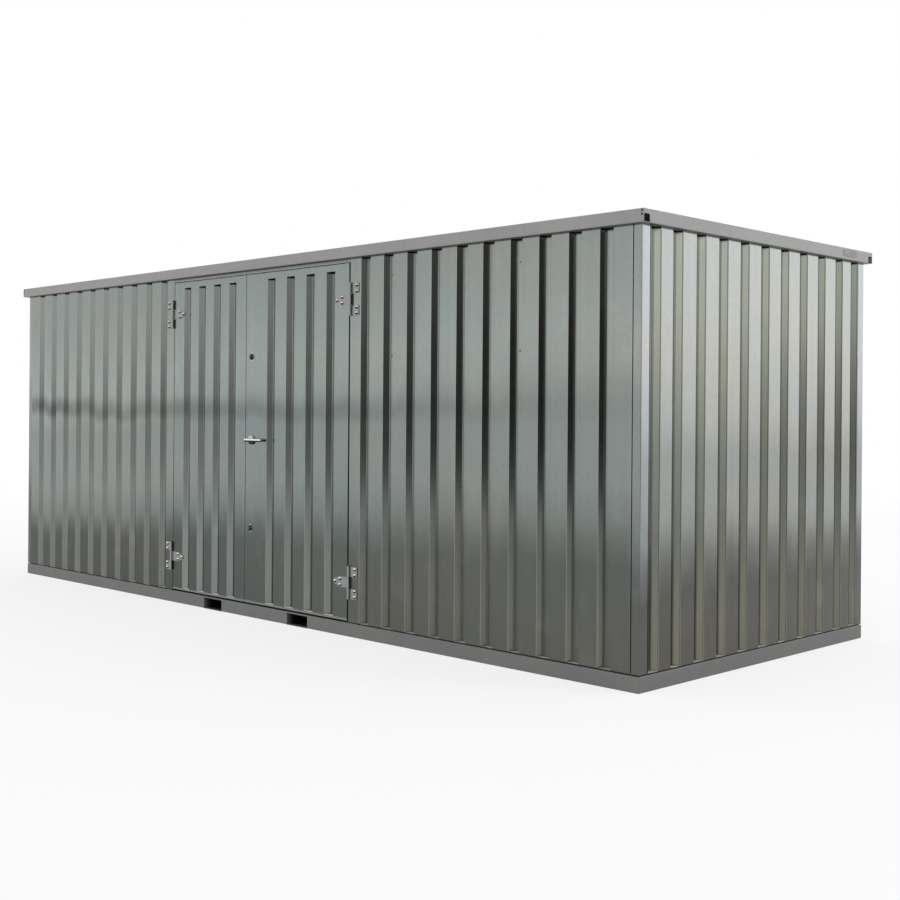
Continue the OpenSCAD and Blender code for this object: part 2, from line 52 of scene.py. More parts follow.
# %% [markdown]
# ## Measure what the finishes follow
# A finish that knows how deep a groove is can darken it, and one that knows the height
# can dull the foot of a wall. Where the faces lie is measured on the solids rather than
# typed in, so both stay right if a size changes.

# %% Measure the walls
wall_low, wall_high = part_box("front_wall_right")
rail_low, rail_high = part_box("roof_front_rail")
leaf_low, leaf_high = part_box("right_leaf_frame")
face_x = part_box("right_wall")[1].x
face_y = -wall_low.y
roof_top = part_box("roof_sheet_middle")[1].z
wall_top = wall_high.z
leaf_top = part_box("right_leaf_sheet")[1].z
header_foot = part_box("door_header")[0].z
print(f"walls stand at x {face_x:.3f} and y {face_y:.3f}, and reach z {wall_top:.3f}")

# %% [markdown]
# ## Write shader maths as plain arithmetic
# A finish is a sum of small effects: streaks, crystals, grime, worn folds. Written node by
# node, that is hard to read. Here a socket is wrapped in a small class, so `1 - mask * 0.3`
# adds the Math nodes by itself, and one method makes every other kind of node.


# %% A socket that can be calculated with
class Value:
    """One output of a finish's nodes. Arithmetic on it adds Math nodes."""

    def __init__(self, finish, socket):
        self.finish = finish
        self.socket = socket

    def output(self, name):
        return Value(self.finish, self.socket.node.outputs[name])

    def calc(self, operation, *items):
        sockets = dict(enumerate(items))
        return self.finish.node("Math", {"operation": operation}, sockets)

    def __add__(self, other):
        return self.calc("ADD", self, other)

    def __radd__(self, other):
        return self.calc("ADD", other, self)

    def __sub__(self, other):
        return self.calc("SUBTRACT", self, other)

    def __rsub__(self, other):
        return self.calc("SUBTRACT", other, self)

    def __mul__(self, other):
        return self.calc("MULTIPLY", self, other)

    def __rmul__(self, other):
        return self.calc("MULTIPLY", other, self)

    def __abs__(self):
        return self.calc("ABSOLUTE", self)

    def least(self, other):
        return self.calc("MINIMUM", self, other)

    def step(self, low, high):
        """0 below low and 1 above high, with a soft passage between them."""
        ends = {"Value": self, "From Min": low, "From Max": high}
        return self.finish.node("MapRange", {"interpolation_type": "SMOOTHSTEP"}, ends)

    def within(self, low, rise, fall, high):
        """1 between rise and fall, and 0 below low and above high."""
        return self.step(low, rise) * (1 - self.step(fall, high))


# %% A finish and its one way to add a node
class Finish:
    """A material under construction."""

    def __init__(self, name):
        self.material = bpy.data.materials.new(name)
        self.material.use_nodes = True
        self.tree = self.material.node_tree
        self.tree.nodes.clear()
        self.place = self.node("TexCoord", out="Object")
        axes = self.node("SeparateXYZ", sockets={0: self.place})
        self.x, self.y, self.z = axes, axes.output("Y"), axes.output("Z")

    def node(self, kind, settings=None, sockets=None, out=0):
        made = self.tree.nodes.new("ShaderNode" + kind)
        for key, setting in (settings or {}).items():
            if key == "stops":
                self.set_stops(made.color_ramp, setting)
            else:
                setattr(made, key, setting)
        for key, item in (sockets or {}).items():
            if isinstance(item, Value):
                self.tree.links.new(item.socket, made.inputs[key])
            else:
                made.inputs[key].default_value = item
        return Value(self, made.outputs[out]) if made.outputs else None

    def set_stops(self, ramp, stops):
        while len(ramp.elements) < len(stops):
            ramp.elements.new(1.0)
        for element, (place, colour) in zip(ramp.elements, stops):
            element.position = place
            element.color = (*colour, 1.0)

    def noise(self, scale, stretch=(1, 1, 1), detail=3.0):
        where = self.node("Mapping", sockets={"Vector": self.place, "Scale": stretch})
        sockets = {"Vector": where, "Scale": scale, "Detail": detail}
        return self.node("TexNoise", sockets=sockets)

    def ramp(self, stops, factor):
        return self.node("ValToRGB", {"stops": stops}, {0: factor}, out="Color")

    def mix(self, factor, first, second, blend="MIX"):
        settings = {"data_type": "RGBA", "blend_type": blend}
        return self.node("Mix", settings, {0: factor, 6: first, 7: second}, out=2)

    def tone(self, colour, factor):
        """A colour times a factor that varies over the surface."""
        return self.mix(1.0, colour, factor, "MULTIPLY")

    def facing(self, axis="Z"):
        """1 on a surface that faces along the axis, up unless told, and -1 on one that faces away."""
        normal = self.node("NewGeometry", out="Normal")
        return self.node("SeparateXYZ", sockets={0: normal}, out=axis)

    def principled(self, **sockets):
        names = {key.replace("_", " ").title(): item for key, item in sockets.items()}
        return self.node("BsdfPrincipled", sockets=names)

    def bump(self, height, strength, distance, rounded=0.0):
        sockets = {"Height": height, "Strength": strength, "Distance": distance}
        if rounded:
            sockets["Normal"] = self.node("Bevel", {"samples": 4}, {"Radius": rounded})
        return self.node("Bump", sockets=sockets)

    def close(self, shader):
        self.node("OutputMaterial", sockets={"Surface": shader})
        return self.material

    def finish(self, **sockets):
        return self.close(self.principled(**sockets))


print("shader arithmetic is ready")

# %% [markdown]
# ## The tones of the zinc
# Hot-dipped sheet is a dull mirror: its foot shows the ground, its middle the horizon and its
# head the sky. Under studio light those tones would be lost, so they are given along the
# height instead, once for the flat ribs and once for the flanks of the grooves. Each pair
# below is a share of the height and a grey level.

# %% Grey levels from foot to head
FRONT_RIBS = [
    (0.0, 0.132), (0.17, 0.127), (0.25, 0.127), (0.30, 0.165), (0.345, 0.215),
    (0.42, 0.262), (0.51, 0.270), (0.60, 0.262), (0.64, 0.290), (0.68, 0.325),
    (0.76, 0.342), (0.85, 0.318), (0.93, 0.300), (1.0, 0.282),
]
FRONT_FLANKS = [
    (0.0, 0.180), (0.25, 0.175), (0.345, 0.215), (0.42, 0.24),
    (0.52, 0.20), (0.72, 0.20), (0.85, 0.25), (1.0, 0.28),
]
LEAF_FLANKS = [(0.0, 0.26), (0.25, 0.25), (0.345, 0.24), (0.5, 0.25), (1.0, 0.26)]
# The end walls have painted reflections of their own, brighter towards the head than the front's.
END_RIBS = [
    (0.0, 0.112), (0.13, 0.106), (0.19, 0.094), (0.26, 0.140), (0.325, 0.220), (0.40, 0.222),
    (0.48, 0.226), (0.56, 0.288), (0.65, 0.326), (0.74, 0.355), (0.82, 0.370), (1.0, 0.380),
]
END_FLANKS = [
    (0.0, 0.195), (0.14, 0.195), (0.25, 0.19), (0.333, 0.185), (0.396, 0.20), (0.48, 0.22),
    (0.56, 0.26), (0.646, 0.31), (0.73, 0.36), (0.81, 0.40), (1.0, 0.42),
]
TONE_HEIGHT = 2.4
print(len(FRONT_RIBS), "tones on a front rib,", len(END_RIBS), "on one of the end walls")

# %% Grey levels made colours
WARM = Vector((1.0, 1.0, 0.925))
COOL = Vector((0.955, 1.0, 0.98))
COOL_FROM = 0.4


def tone_stops(tones, tint):
    """Warm near the ground and cool above it, times the tint of the sheet."""
    made = []
    for place, level in tones:
        mixed = WARM.lerp(COOL, min(place / COOL_FROM, 1.0)) * level
        made.append((place, [a * b for a, b in zip(mixed, tint)]))
    return made


print("lowest front tone", [round(v, 3) for v in tone_stops(FRONT_RIBS, (1, 1, 1))[0][1]])

# %% [markdown]
# ## Marks in the zinc, and where they lie
# Zinc has crystals as wide as a fingernail, long faint streaks from rolling, and rain splash
# on its lowest third. The finish also paints highlights along the folds and shade in the corners
# of the grooves. A picture could be wrapped round it, but it would stretch over the folds.
# These marks are worked out from the place on the wall instead, so they fit every sheet.

# %% Uneven patterns
CRYSTALS_PER_M = 62.0


def zinc_patterns(f):
    """What varies by chance: drift, streaks, patches, crystals, waves in the sheet, marks of rubbing."""
    cells = f.node("TexVoronoi", sockets={"Vector": f.place, "Scale": CRYSTALS_PER_M}, out="Color")
    return SimpleNamespace(
        drift=f.noise(1.6, detail=4.0),
        streak=f.noise(1.0, stretch=(34, 34, 0.35)),
        patina=f.noise(0.9, stretch=(1.0, 1.0, 2.2)),
        crystal=f.node("RGBToBW", sockets={0: cells}),
        wave=f.noise(1.0, stretch=(5.0, 5.0, 0.3), detail=1.0) - 0.5,
        rub=f.noise(8.0, stretch=(1.0, 1.0, 0.55), detail=7.0).step(0.54, 0.72),
    )


print("crystals are about", round(1000 / CRYSTALS_PER_M), "mm wide")

# %% Depths that bound the parts of a sheet
# In metres behind the wall's face. A pair is a soft step, and four values are a soft band.
FOLD = (0.0001, 0.0006, 0.0016, 0.0026)
FLANK = (0.0010, 0.0022)
BROW = (0.0014, 0.0022, 0.0050, 0.0064)
OFF_RIB = (0.002, 0.004)
IN_GROOVE = (0.002, 0.006)
INNER_CORNER = (0.0300, 0.0315)
GROOVE_FLOOR = (0.0335, 0.0345)


def groove_depth(f):
    """Distance of a point behind the nearest outer face of the cabin."""
    walls = (face_x - abs(f.x)).least(face_y - abs(f.y))
    return walls.least(roof_top - f.z)


print("a groove counts as floor from", GROOVE_FLOOR[1], "m down")

# %% Parts of a sheet
# The first two are shares of a face's direction, and the last are heights in metres.
LEVEL = (0.5, 0.9)
FORWARD_SIDE = (0.4, 0.8)
FOOT_ENDS = (0.2, 0.25)


class Sheet:
    """Masks for the parts of a sheet, each one added when a finish asks for it."""

    def __init__(self, f):
        self.f = f
        self.depth = groove_depth(f)

    def above_floor(self):
        return 1 - self.depth.step(*GROOVE_FLOOR)

    def flank(self):
        return self.depth.step(*FLANK) * self.above_floor()

    def post_side(self):
        """The side of a corner post that faces front or back, which gets the front's painted tones."""
        return abs(self.f.facing("Y")).step(*FORWARD_SIDE)

    def fold(self):
        return self.depth.within(*FOLD)

    # Painted shade: the top of each flank just behind the fold, and the inner corners of the grooves.
    def shaded_creases(self):
        return self.depth.within(*BROW) + self.depth.step(*INNER_CORNER) * self.above_floor()

    def rib(self):
        return 1 - self.depth.step(*OFF_RIB)

    def shaded_top(self, head):
        """The highest part of a groove, under the rail."""
        top = self.f.z.within(head - 0.013, head - 0.006, head + 0.002, head + 0.004)
        return self.depth.step(*IN_GROOVE) * top

    def dust_and_sheen(self):
        """Level faces at the foot, and those in the gap between leaf and header, which get a painted highlight."""
        z = self.f.z
        foot = self.f.facing().step(*LEVEL) * (1 - z.step(*FOOT_ENDS))
        leaf_head = leaf_high.z
        gap = z.within(leaf_head - 0.006, leaf_head - 0.004, header_foot + 0.004, header_foot + 0.006)
        return foot + gap * abs(self.f.facing()).step(*LEVEL)


print("the gap over the leaves is", round(1000 * (header_foot - leaf_high.z), 1), "mm")

# %% [markdown]
# ## The zinc sheet
# The finish lays the marks over the tones: first the height with its waves, then the colour
# from ribs to flanks, and then painted shade in the creases and under the rail, and a painted
# highlight on level faces. The front carries two things more, a painted reflection of the horizon
# as a dim band, and a painted reflection of the ground at the left foot. The leaves have a paler
# hem as well, and a painted shadow along the right leaf's outer edge.

# %% Painted reflections of the horizon and the ground on the front
HORIZON = (1.29, 1.38, 1.39, 1.51)
GROUND_REFLECTION_ENDS = (0.60, 0.84)
GROUND_REFLECTION_ALONG = (-1.0, 2.6)


def horizon_band(f, pattern):
    """A painted reflection of the horizon: a dim band at eye height that fades towards the right."""
    height = f.z + 0.10 * pattern.patina - 0.05 + 0.12 * pattern.wave
    return height.within(*HORIZON) * (0.24 - 0.07 * f.x) * (0.4 + 1.1 * pattern.drift)


def ground_reflection(f, height):
    """A painted reflection of the ground near the foot, which grows towards the left."""
    return (1 - height.step(*GROUND_REFLECTION_ENDS)) * (0 - f.x).step(*GROUND_REFLECTION_ALONG)


print("the horizon lies at", HORIZON[1], "m and the damp ends at", GROUND_REFLECTION_ENDS[1], "m")

# %% The hem of a leaf, and the painted shadow at its edge
PALE_HEM = (0.45, 0.46, 0.45, 1)


def hem_and_edge_shadow(f, colour, rib):
    """The leaf's lower hem is made paler, and a painted shadow darkens the right leaf's outer edge, by the gap."""
    hem = leaf_low.z
    pale_band = f.z.within(hem + 0.001, hem + 0.002, hem + 0.008, hem + 0.010)
    colour = f.mix(0.5 * pale_band * rib, colour, PALE_HEM)
    # Painted shadow: a dark strip along the right leaf's outer edge, where the gap is.
    return f.tone(colour, 1 - 0.92 * f.x.step(leaf_high.x - 0.0075, leaf_high.x - 0.006))


print("the hem is at", round(leaf_low.z, 3), "m")

# %% The zinc finish
FOLD_HIGHLIGHT = (0.50, 0.53, 0.52, 1)
LEVEL_SHEEN = (0.80, 0.82, 0.80, 1)
COOL_PATCH = (0.97, 1.0, 1.01, 1)
WARM_PATCH = (1.03, 1.0, 0.975, 1)
SPLASH_ENDS = (0.55, 0.95)
LEVEL_TONES_X = 2.6


def zinc_finish(name, ribs, flanks, slope=0.0, head=wall_top, crease_shade=0.0, hem=False, corner=False):
    """Ribs and flanks are stops from foot to head. The slope tilts them along the front."""
    f = Finish(name)
    pattern = zinc_patterns(f)
    sheet = Sheet(f)
    tilt = slope * (f.x - LEVEL_TONES_X)
    height = f.z + 0.06 * pattern.drift - 0.03 - tilt + 0.16 * pattern.wave
    share = height * (1 / TONE_HEIGHT)
    splash = 1 - height.step(*SPLASH_ENDS)
    scuff = pattern.rub * (0.35 + 0.65 * splash)
    rib_colour = f.ramp(ribs, share)
    flank_colour = f.ramp(flanks, share)
    if slope:
        # Painted reflection of the ground: darker ribs and paler flanks near the foot, more to the left.
        mirrored_ground = ground_reflection(f, height)
        rib_colour = f.tone(rib_colour, 1 - 0.40 * mirrored_ground)
        flank_colour = f.tone(flank_colour, 1 + 0.32 * mirrored_ground)
    flank = sheet.post_side() if corner else sheet.flank()
    colour = f.mix(flank, rib_colour, flank_colour)
    grain = (0.94 + 0.11 * pattern.streak) * (0.97 + 0.06 * pattern.crystal)
    colour = f.tone(colour, grain * (1 + 0.16 * scuff))
    patch = f.mix(pattern.patina.step(0.35, 0.65), COOL_PATCH, WARM_PATCH)
    colour = f.tone(colour, patch)
    # Except on the corner finishes, each fold gets a painted highlight.
    if not corner:
        colour = f.mix(0.35 * sheet.fold(), colour, FOLD_HIGHLIGHT)
    # Painted shade in the creases, as strong as the finish asks.
    if crease_shade:
        colour = f.tone(colour, 1 - crease_shade * sheet.shaded_creases())
    if slope:
        colour = f.tone(colour, 1 - horizon_band(f, pattern))
    colour = f.tone(colour, 1 - 0.93 * sheet.shaded_top(head))
    # Painted highlight: level faces at the foot and in the gap over the leaves turn pale and matt.
    dust_and_sheen = sheet.dust_and_sheen()
    colour = f.mix(dust_and_sheen, colour, LEVEL_SHEEN)
    if hem:
        colour = hem_and_edge_shadow(f, colour, sheet.rib())
    return f.finish(
        base_color=colour,
        metallic=1 - 0.9 * dust_and_sheen,
        roughness=0.14 + 0.04 * pattern.drift + 0.02 * pattern.crystal + 0.08 * splash,
        normal=f.bump(0.5 * pattern.drift + 0.3 * pattern.streak, 0.14, 0.003),
    )


print("rain splash reaches", SPLASH_ENDS[1], "m")

# %% The five zinc finishes
# The header is darkened to about two thirds, as painted shade under the roof rail.
HEADER_SHADE_TINT = (0.68, 0.70, 0.69)

front_zinc = zinc_finish(
    "zinc_front",
    tone_stops(FRONT_RIBS, (0.965, 1.0, 0.97)),
    tone_stops(FRONT_FLANKS, (0.98, 1.0, 0.95)),
    slope=0.05,
)
leaf_zinc = zinc_finish(
    "zinc_leaf",
    tone_stops(FRONT_RIBS, (0.91, 1.0, 0.99)),
    tone_stops(LEAF_FLANKS, (0.97, 1.0, 1.0)),
    slope=0.035,
    head=leaf_top,
    hem=True,
)
zinc = zinc_finish(
    "zinc_sheet",
    tone_stops(END_RIBS, (1.02, 1.0, 0.965)),
    tone_stops(END_FLANKS, (1.0, 1.0, 0.87)),
    crease_shade=0.45,
)
# The posts' two sides take the painted reflections of the walls beside them: the end walls' tones on the side, the
# front's on the front.
post_zinc = zinc_finish(
    "zinc_post",
    tone_stops(END_RIBS, (1.07, 1.08, 1.13)),
    tone_stops(FRONT_RIBS, (0.97, 1.0, 1.01)),
    corner=True,
)
header_zinc = zinc_finish(
    "zinc_header",
    tone_stops(END_RIBS, HEADER_SHADE_TINT),
    tone_stops(FRONT_RIBS, HEADER_SHADE_TINT),
    corner=True,
)
print("zinc has", len(zinc.node_tree.nodes), "nodes")

# %% [markdown]
# ## The painted rails
# The roof and base rails are thick folded steel under satin grey paint. Real paint is never
# one even grey: it clouds slightly, and dust gathers on it. Undersides and hollows get painted
# shade. The ledge on which the sheets stand is bare, and its top is painted pale, a painted
# reflection of the sky. The solids have sharp edges, so a Bevel node bends the light there
# as a real fold would. Rounding the mesh would do it too, with many more faces.

# %% The paint finish
LEDGE_BELOW_SHEETS = 0.004
BASE_ENDS = (0.3, 0.31)
BARE_LEDGE_SHEEN = (0.80, 0.81, 0.79, 1)

ledge_z = wall_low.z - LEDGE_BELOW_SHEETS


def paint_finish(name, colour, dust_and_sheen, rough=0.42, inside=0.0):
    """Satin paint, with painted shade on its undersides, towards a hollow's inside, under the ledge and on the end
    rails.
    """
    f = Finish(name)
    cloud = f.noise(2.2, detail=5.0)
    run = f.noise(1.0, stretch=(18, 18, 0.8))
    speck = f.noise(260.0, detail=1.0)
    down = (0 - f.facing()).step(0.90, 0.995)
    hollow = (face_y - abs(f.y)).step(0.0, 0.06) * inside
    low = 1 - f.z.step(*BASE_ENDS)
    ledge = f.z.step(ledge_z, ledge_z + 0.0006) * f.facing().step(*LEVEL) * low
    shade = f.z.step(ledge_z - 0.0045, ledge_z - 0.004) * low
    end_rail = (abs(f.x) - face_x).step(-0.001, 0.0005) * low
    dust = cloud.step(0.45, 0.75) * 0.35
    paint = f.tone((*colour, 1), (0.90 + 0.20 * cloud) * (0.94 + 0.12 * run))
    paint = f.mix(dust, paint, (*dust_and_sheen, 1))
    # Painted shade: undersides, a hollow's inside and the gap under the ledge are darkened, and the end rails by a
    # quarter.
    paint = f.tone(paint, (1 - 0.75 * down) * (1 - hollow) * (1 - 0.85 * shade))
    paint = f.tone(paint, 1 - 0.24 * end_rail)
    # Bare zinc ledge, its level top painted pale as a painted reflection of the sky.
    paint = f.mix(ledge, paint, BARE_LEDGE_SHEEN)
    return f.finish(
        base_color=paint,
        metallic=0.15 + 0.7 * ledge,
        roughness=rough + 0.14 * cloud,
        normal=f.bump(speck + 2.0 * cloud, 0.12, 0.0008, rounded=0.003),
    )


print("the bare ledge lies at", round(ledge_z, 3), "m")

# %% The four paints
rail_paint = paint_finish("rail_paint", (0.285, 0.285, 0.282), (0.335, 0.33, 0.316))
base_paint = paint_finish("base_paint", (0.178, 0.180, 0.176), (0.205, 0.201, 0.188), 0.5)
# Near-black paint for the plates behind the drain slots, as painted shade.
gutter_paint = paint_finish("gutter_paint", (0.035, 0.035, 0.034), (0.05, 0.05, 0.047), 0.6)
pocket_paint = paint_finish(
    "pocket_paint", (0.150, 0.151, 0.148), (0.17, 0.168, 0.158), 0.5, inside=0.95,
)
print("four paints, for the roof, the base, the gutter and the pockets")

# %% [markdown]
# ## Bright fittings, the handle and the floor
# The hinges are zinc plated and the handle is polished, so both are metals that differ
# mainly in how rough they are. Handling leaves smudges, which show as changes in roughness
# more than in colour. The floor plate inside is plain steel, scratched by what was dragged in.
# One helper makes all the small metals, because they differ only in a few numbers.

# %% The metal finish
WORN_METAL = (0.36, 0.36, 0.35, 1)


def metal_finish(name, colour, rough, smudge, worn, under=0.0, below=None, line=0.02):
    """A metal. Under darkens what faces down from the line on, and below darkens all under a height, both as
    painted shade.
    """
    f = Finish(name)
    cloud = f.noise(38.0, detail=4.0)
    scratch = f.noise(1.0, stretch=(420, 60, 60))
    down = (0 - f.facing()).step(line, line + 0.33)
    metal = f.mix(worn * cloud.step(0.4, 0.7), (*colour, 1), WORN_METAL)
    # Painted shade on what faces down, and below the given height.
    metal = f.tone(metal, 1 - under * down)
    if below:
        metal = f.tone(metal, 0.06 + 0.94 * f.z.step(below - 0.004, below + 0.004))
    return f.finish(
        base_color=metal,
        metallic=1.0,
        roughness=rough + smudge * cloud + 0.04 * scratch,
        normal=f.bump(scratch, 0.06, 0.0004, rounded=0.0012),
    )


# %% The seven metals
rose_low, rose_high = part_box("handle_rose")
lever_low, lever_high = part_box("handle_lever")
rose_middle = rose_low.lerp(rose_high, 0.5).z
lever_line = lever_low.z + 0.45 * (lever_high.z - lever_low.z)
hinge_zinc = metal_finish("hinge_zinc", (0.285, 0.297, 0.292), 0.20, 0.10, 0.15)
plate_zinc = metal_finish("plate_zinc", (0.20, 0.20, 0.20), 0.34, 0.10, 0.3)
ring_steel = metal_finish("ring_steel", (0.93, 0.93, 0.92), 0.14, 0.08, 0.05)
bolt_zinc = metal_finish("bolt_zinc", (0.95, 0.95, 0.94), 0.14, 0.08, 0.02, under=0.95, line=-0.28)
knob_steel = metal_finish("knob_steel", (0.05, 0.052, 0.052), 0.05, 0.06, 0.02, under=0.7)
rose_steel = metal_finish(
    "rose_steel", (0.50, 0.50, 0.51), 0.06, 0.06, 0.05, under=0.9, below=rose_middle,
)
handle_steel = metal_finish(
    "handle_steel", (0.86, 0.86, 0.87), 0.05, 0.06, 0.05, under=0.96, below=lever_line,
)
print("seven metals, the rose dark below", round(rose_middle, 3))


# %% The floor plate's finish
def deck_finish():
    """Worn steel, scratched along the cabin, with dust lying on it."""
    f = Finish("floor_plate")
    cloud = f.noise(3.0, detail=5.0)
    scratch = f.noise(1.0, stretch=(2, 90, 2))
    dust = cloud.step(0.35, 0.7)
    colour = f.mix(dust, (0.33, 0.33, 0.32, 1), (0.42, 0.41, 0.39, 1))
    return f.finish(
        base_color=f.tone(colour, 0.85 + 0.3 * scratch),
        metallic=0.45 - 0.4 * dust,
        roughness=0.45 + 0.25 * cloud,
        normal=f.bump(scratch, 0.10, 0.001),
    )


floor_plate = deck_finish()
print("the floor plate is dull and dusty")

# %% [markdown]
# ## Give each solid its finish
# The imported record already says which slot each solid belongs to, so a small table from slot
# to finish is enough for most. Some solids look different from the rest of their slot, such
# as the front walls, the posts and the knobs, and a second table names those.

# %% Assign the finishes
SLOT_FINISHES = {
    "zinc_sheet": zinc,
    "rail_paint": rail_paint,
    "base_paint": base_paint,
    "floor_plate": floor_plate,
    "bright_zinc": hinge_zinc,
    "handle_steel": handle_steel,
}
OWN_FINISHES = {
    "post_": post_zinc,
    "front_wall": front_zinc,
    "leaf_sheet": leaf_zinc,
    "leaf_frame": leaf_zinc,
    "door_header": header_zinc,
    # The jambs take the dark base paint, as painted shade in the gap beside the leaves.
    "door_jamb": base_paint,
    "fork_pocket": pocket_paint,
    "lock_knobs": knob_steel,
    "handle_rose": rose_steel,
}


def finish_for(name, slot):
    own = [finish for words, finish in OWN_FINISHES.items() if words in name]
    return own[0] if own else SLOT_FINISHES[slot]


subparts = frame["record"]["subparts"]
for part in subparts:
    mesh = nodes[part["node"]].data
    mesh.materials.clear()
    mesh.materials.append(finish_for(part["node"], part["material_slot"]))
print("finished", len(subparts), "solids")

# %% [markdown]
# ## Round-headed bolts and rivets
# Every fastener on the cabin is a dome on a thin washer. Modelling each one by hand would
# take all day, so a Geometry Nodes tree makes one and puts a copy on each point of a list.
# The copies are then made real, because a finished part has no instances left in it.


# %% Helpers for a tree
def socket_in(tree, name, kind, value=None):
    made = tree.interface.new_socket(name, in_out="INPUT", socket_type=kind)
    if value is not None:
        made.default_value = value


def wire(tree, kind, links, **settings):
    made = tree.nodes.new(kind)
    for key, setting in settings.items():
        setattr(made, key, setting)
    for key, source in links.items():
        if isinstance(source, bpy.types.NodeSocket):
            tree.links.new(source, made.inputs[key])
        else:
            made.inputs[key].default_value = source
    return made.outputs[0]


# %% Grow a dome on every point
ROUND_STEPS = 20
DOME_RINGS = 10


def dome_tree():
    tree = bpy.data.node_groups.new("domes_on_points", "GeometryNodeTree")
    socket_in(tree, "Points", "NodeSocketGeometry")
    socket_in(tree, "Head Radius", "NodeSocketFloat", 0.008)
    socket_in(tree, "Head Height", "NodeSocketFloat", 0.006)
    socket_in(tree, "Washer Radius", "NodeSocketFloat", 0.010)
    socket_in(tree, "Washer Height", "NodeSocketFloat", 0.0015)
    socket_in(tree, "Turn", "NodeSocketVector", (0.0, 0.0, 0.0))
    socket_in(tree, "Finish", "NodeSocketMaterial")
    tree.interface.new_socket("Fasteners", in_out="OUTPUT", socket_type="NodeSocketGeometry")
    given = tree.nodes.new("NodeGroupInput").outputs
    head = wire(tree, "GeometryNodeMeshUVSphere",
                {"Segments": ROUND_STEPS, "Rings": DOME_RINGS, "Radius": 1.0})
    size = wire(tree, "ShaderNodeCombineXYZ",
                {"X": given["Head Radius"], "Y": given["Head Radius"], "Z": given["Head Height"]})
    head = wire(tree, "GeometryNodeTransform", {"Geometry": head, "Scale": size})
    head = wire(tree, "GeometryNodeSetShadeSmooth", {"Geometry": head})
    deep = wire(tree, "ShaderNodeMath", {0: given["Washer Height"], 1: 2.0}, operation="MULTIPLY")
    washer = wire(tree, "GeometryNodeMeshCylinder",
                  {"Vertices": ROUND_STEPS, "Radius": given["Washer Radius"], "Depth": deep})
    both = tree.nodes.new("GeometryNodeJoinGeometry")
    for piece in (head, washer):
        tree.links.new(piece, both.inputs[0])
    turn = wire(tree, "FunctionNodeEulerToRotation", {0: given["Turn"]})
    copies = wire(tree, "GeometryNodeInstanceOnPoints",
                  {"Points": given["Points"], "Instance": both.outputs[0], "Rotation": turn})
    real = wire(tree, "GeometryNodeRealizeInstances", {0: copies})
    done = wire(tree, "GeometryNodeSetMaterial", {"Geometry": real, "Material": given["Finish"]})
    tree.links.new(done, tree.nodes.new("NodeGroupOutput").inputs[0])
    return tree


DOMES = dome_tree()
print("the dome tree has", len(DOMES.nodes), "nodes")


# %% Turn a grown tree into a plain piece
def grown(name, points, tree, values, body):
    cloud = bpy.data.meshes.new(name + "_points")
    cloud.from_pydata(points, [], [])
    holder = bpy.data.objects.new(name + "_holder", cloud)
    bpy.context.scene.collection.objects.link(holder)
    modifier = holder.modifiers.new("grow", "NODES")
    modifier.node_group = tree
    for item in tree.interface.items_tree:
        if item.in_out == "INPUT" and item.name in values:
            modifier[item.identifier] = values[item.name]
    graph = bpy.context.evaluated_depsgraph_get()
    mesh = bpy.data.meshes.new_from_object(holder.evaluated_get(graph), depsgraph=graph)
    bpy.data.objects.remove(holder)
    piece = bpy.data.objects.new(name, mesh)
    bpy.context.scene.collection.objects.link(piece)
    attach(piece, body)
    print(name, "has", len(points), "copies and", len(mesh.polygons), "faces")


# %% Fasteners of one kind
FORWARD = (math.pi / 2, 0.0, 0.0)
RIGHTWARD = (0.0, math.pi / 2, 0.0)
WASHER_HEIGHT = 0.0012


def domes(name, points, size, body, turn=FORWARD, finish=bolt_zinc):
    """The size is the head's radius and height and the washer's radius."""
    values = {
        "Head Radius": size[0], "Head Height": size[1],
        "Washer Radius": size[2], "Washer Height": WASHER_HEIGHT,
        "Turn": turn, "Finish": finish,
    }
    grown(name, points, DOMES, values, body)


print("washers are", 1000 * WASHER_HEIGHT, "mm thick")

# %% [markdown]
# ## The hinge bolts
# Each wall plate is held by two bolts above its strap and two below it, and each strap by
# three, the last one in its tip. They could be typed in one by one, but here their places are
# worked out from the plates and the hinge's axis, so the bolts follow those.

# %% Bolts on the plates and straps
HINGE_BOLT = (0.0102, 0.0092, 0.0112)
PLATE_THICKNESS = 0.004
PLATE_HALF_HEIGHT = 0.1
PLATE_BOLT_X = 0.055
PLATE_BOLT_Z = (-0.085, -0.049, 0.049, 0.085)
STRAP_BOLTS = ((0.083, -0.0185), (0.083, 0.0185), (0.132, 0.0))

plate_low, plate_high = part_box("right_hinge_plates")
pin_x = [j for j in frame["joints"] if j["name"] == "right_leaf_hinge"][0]["pos_m"][0]
plate_face = -face_y - PLATE_THICKNESS
levels = (plate_low.z + PLATE_HALF_HEIGHT, plate_high.z - PLATE_HALF_HEIGHT)
plate_bolts = [
    (side * (pin_x + PLATE_BOLT_X), plate_face, level + offset)
    for side in (-1, 1) for level in levels for offset in PLATE_BOLT_Z
]
strap_bolts = [
    (pin_x - reach, plate_face, level + offset)
    for level in levels for reach, offset in STRAP_BOLTS
]
left_bolts = [(-x, y, z) for x, y, z in strap_bolts]
domes("plate_bolts", plate_bolts, HINGE_BOLT, "cabin")
domes("right_strap_bolts", strap_bolts, HINGE_BOLT, "right_leaf")
domes("left_strap_bolts", left_bolts, HINGE_BOLT, "left_leaf")

# %% [markdown]
# ## Rings behind the lock knobs
# Each dark lock knob sits on a bright ring that stands out a little all round. The ring is a
# wide washer, so the same tree makes it.

# %% Bright rings
RING_SHARE = 1.12
BUTTON_SHARE = 0.4
BUTTON_HEIGHT = 0.002
RING_OUT = 0.0002

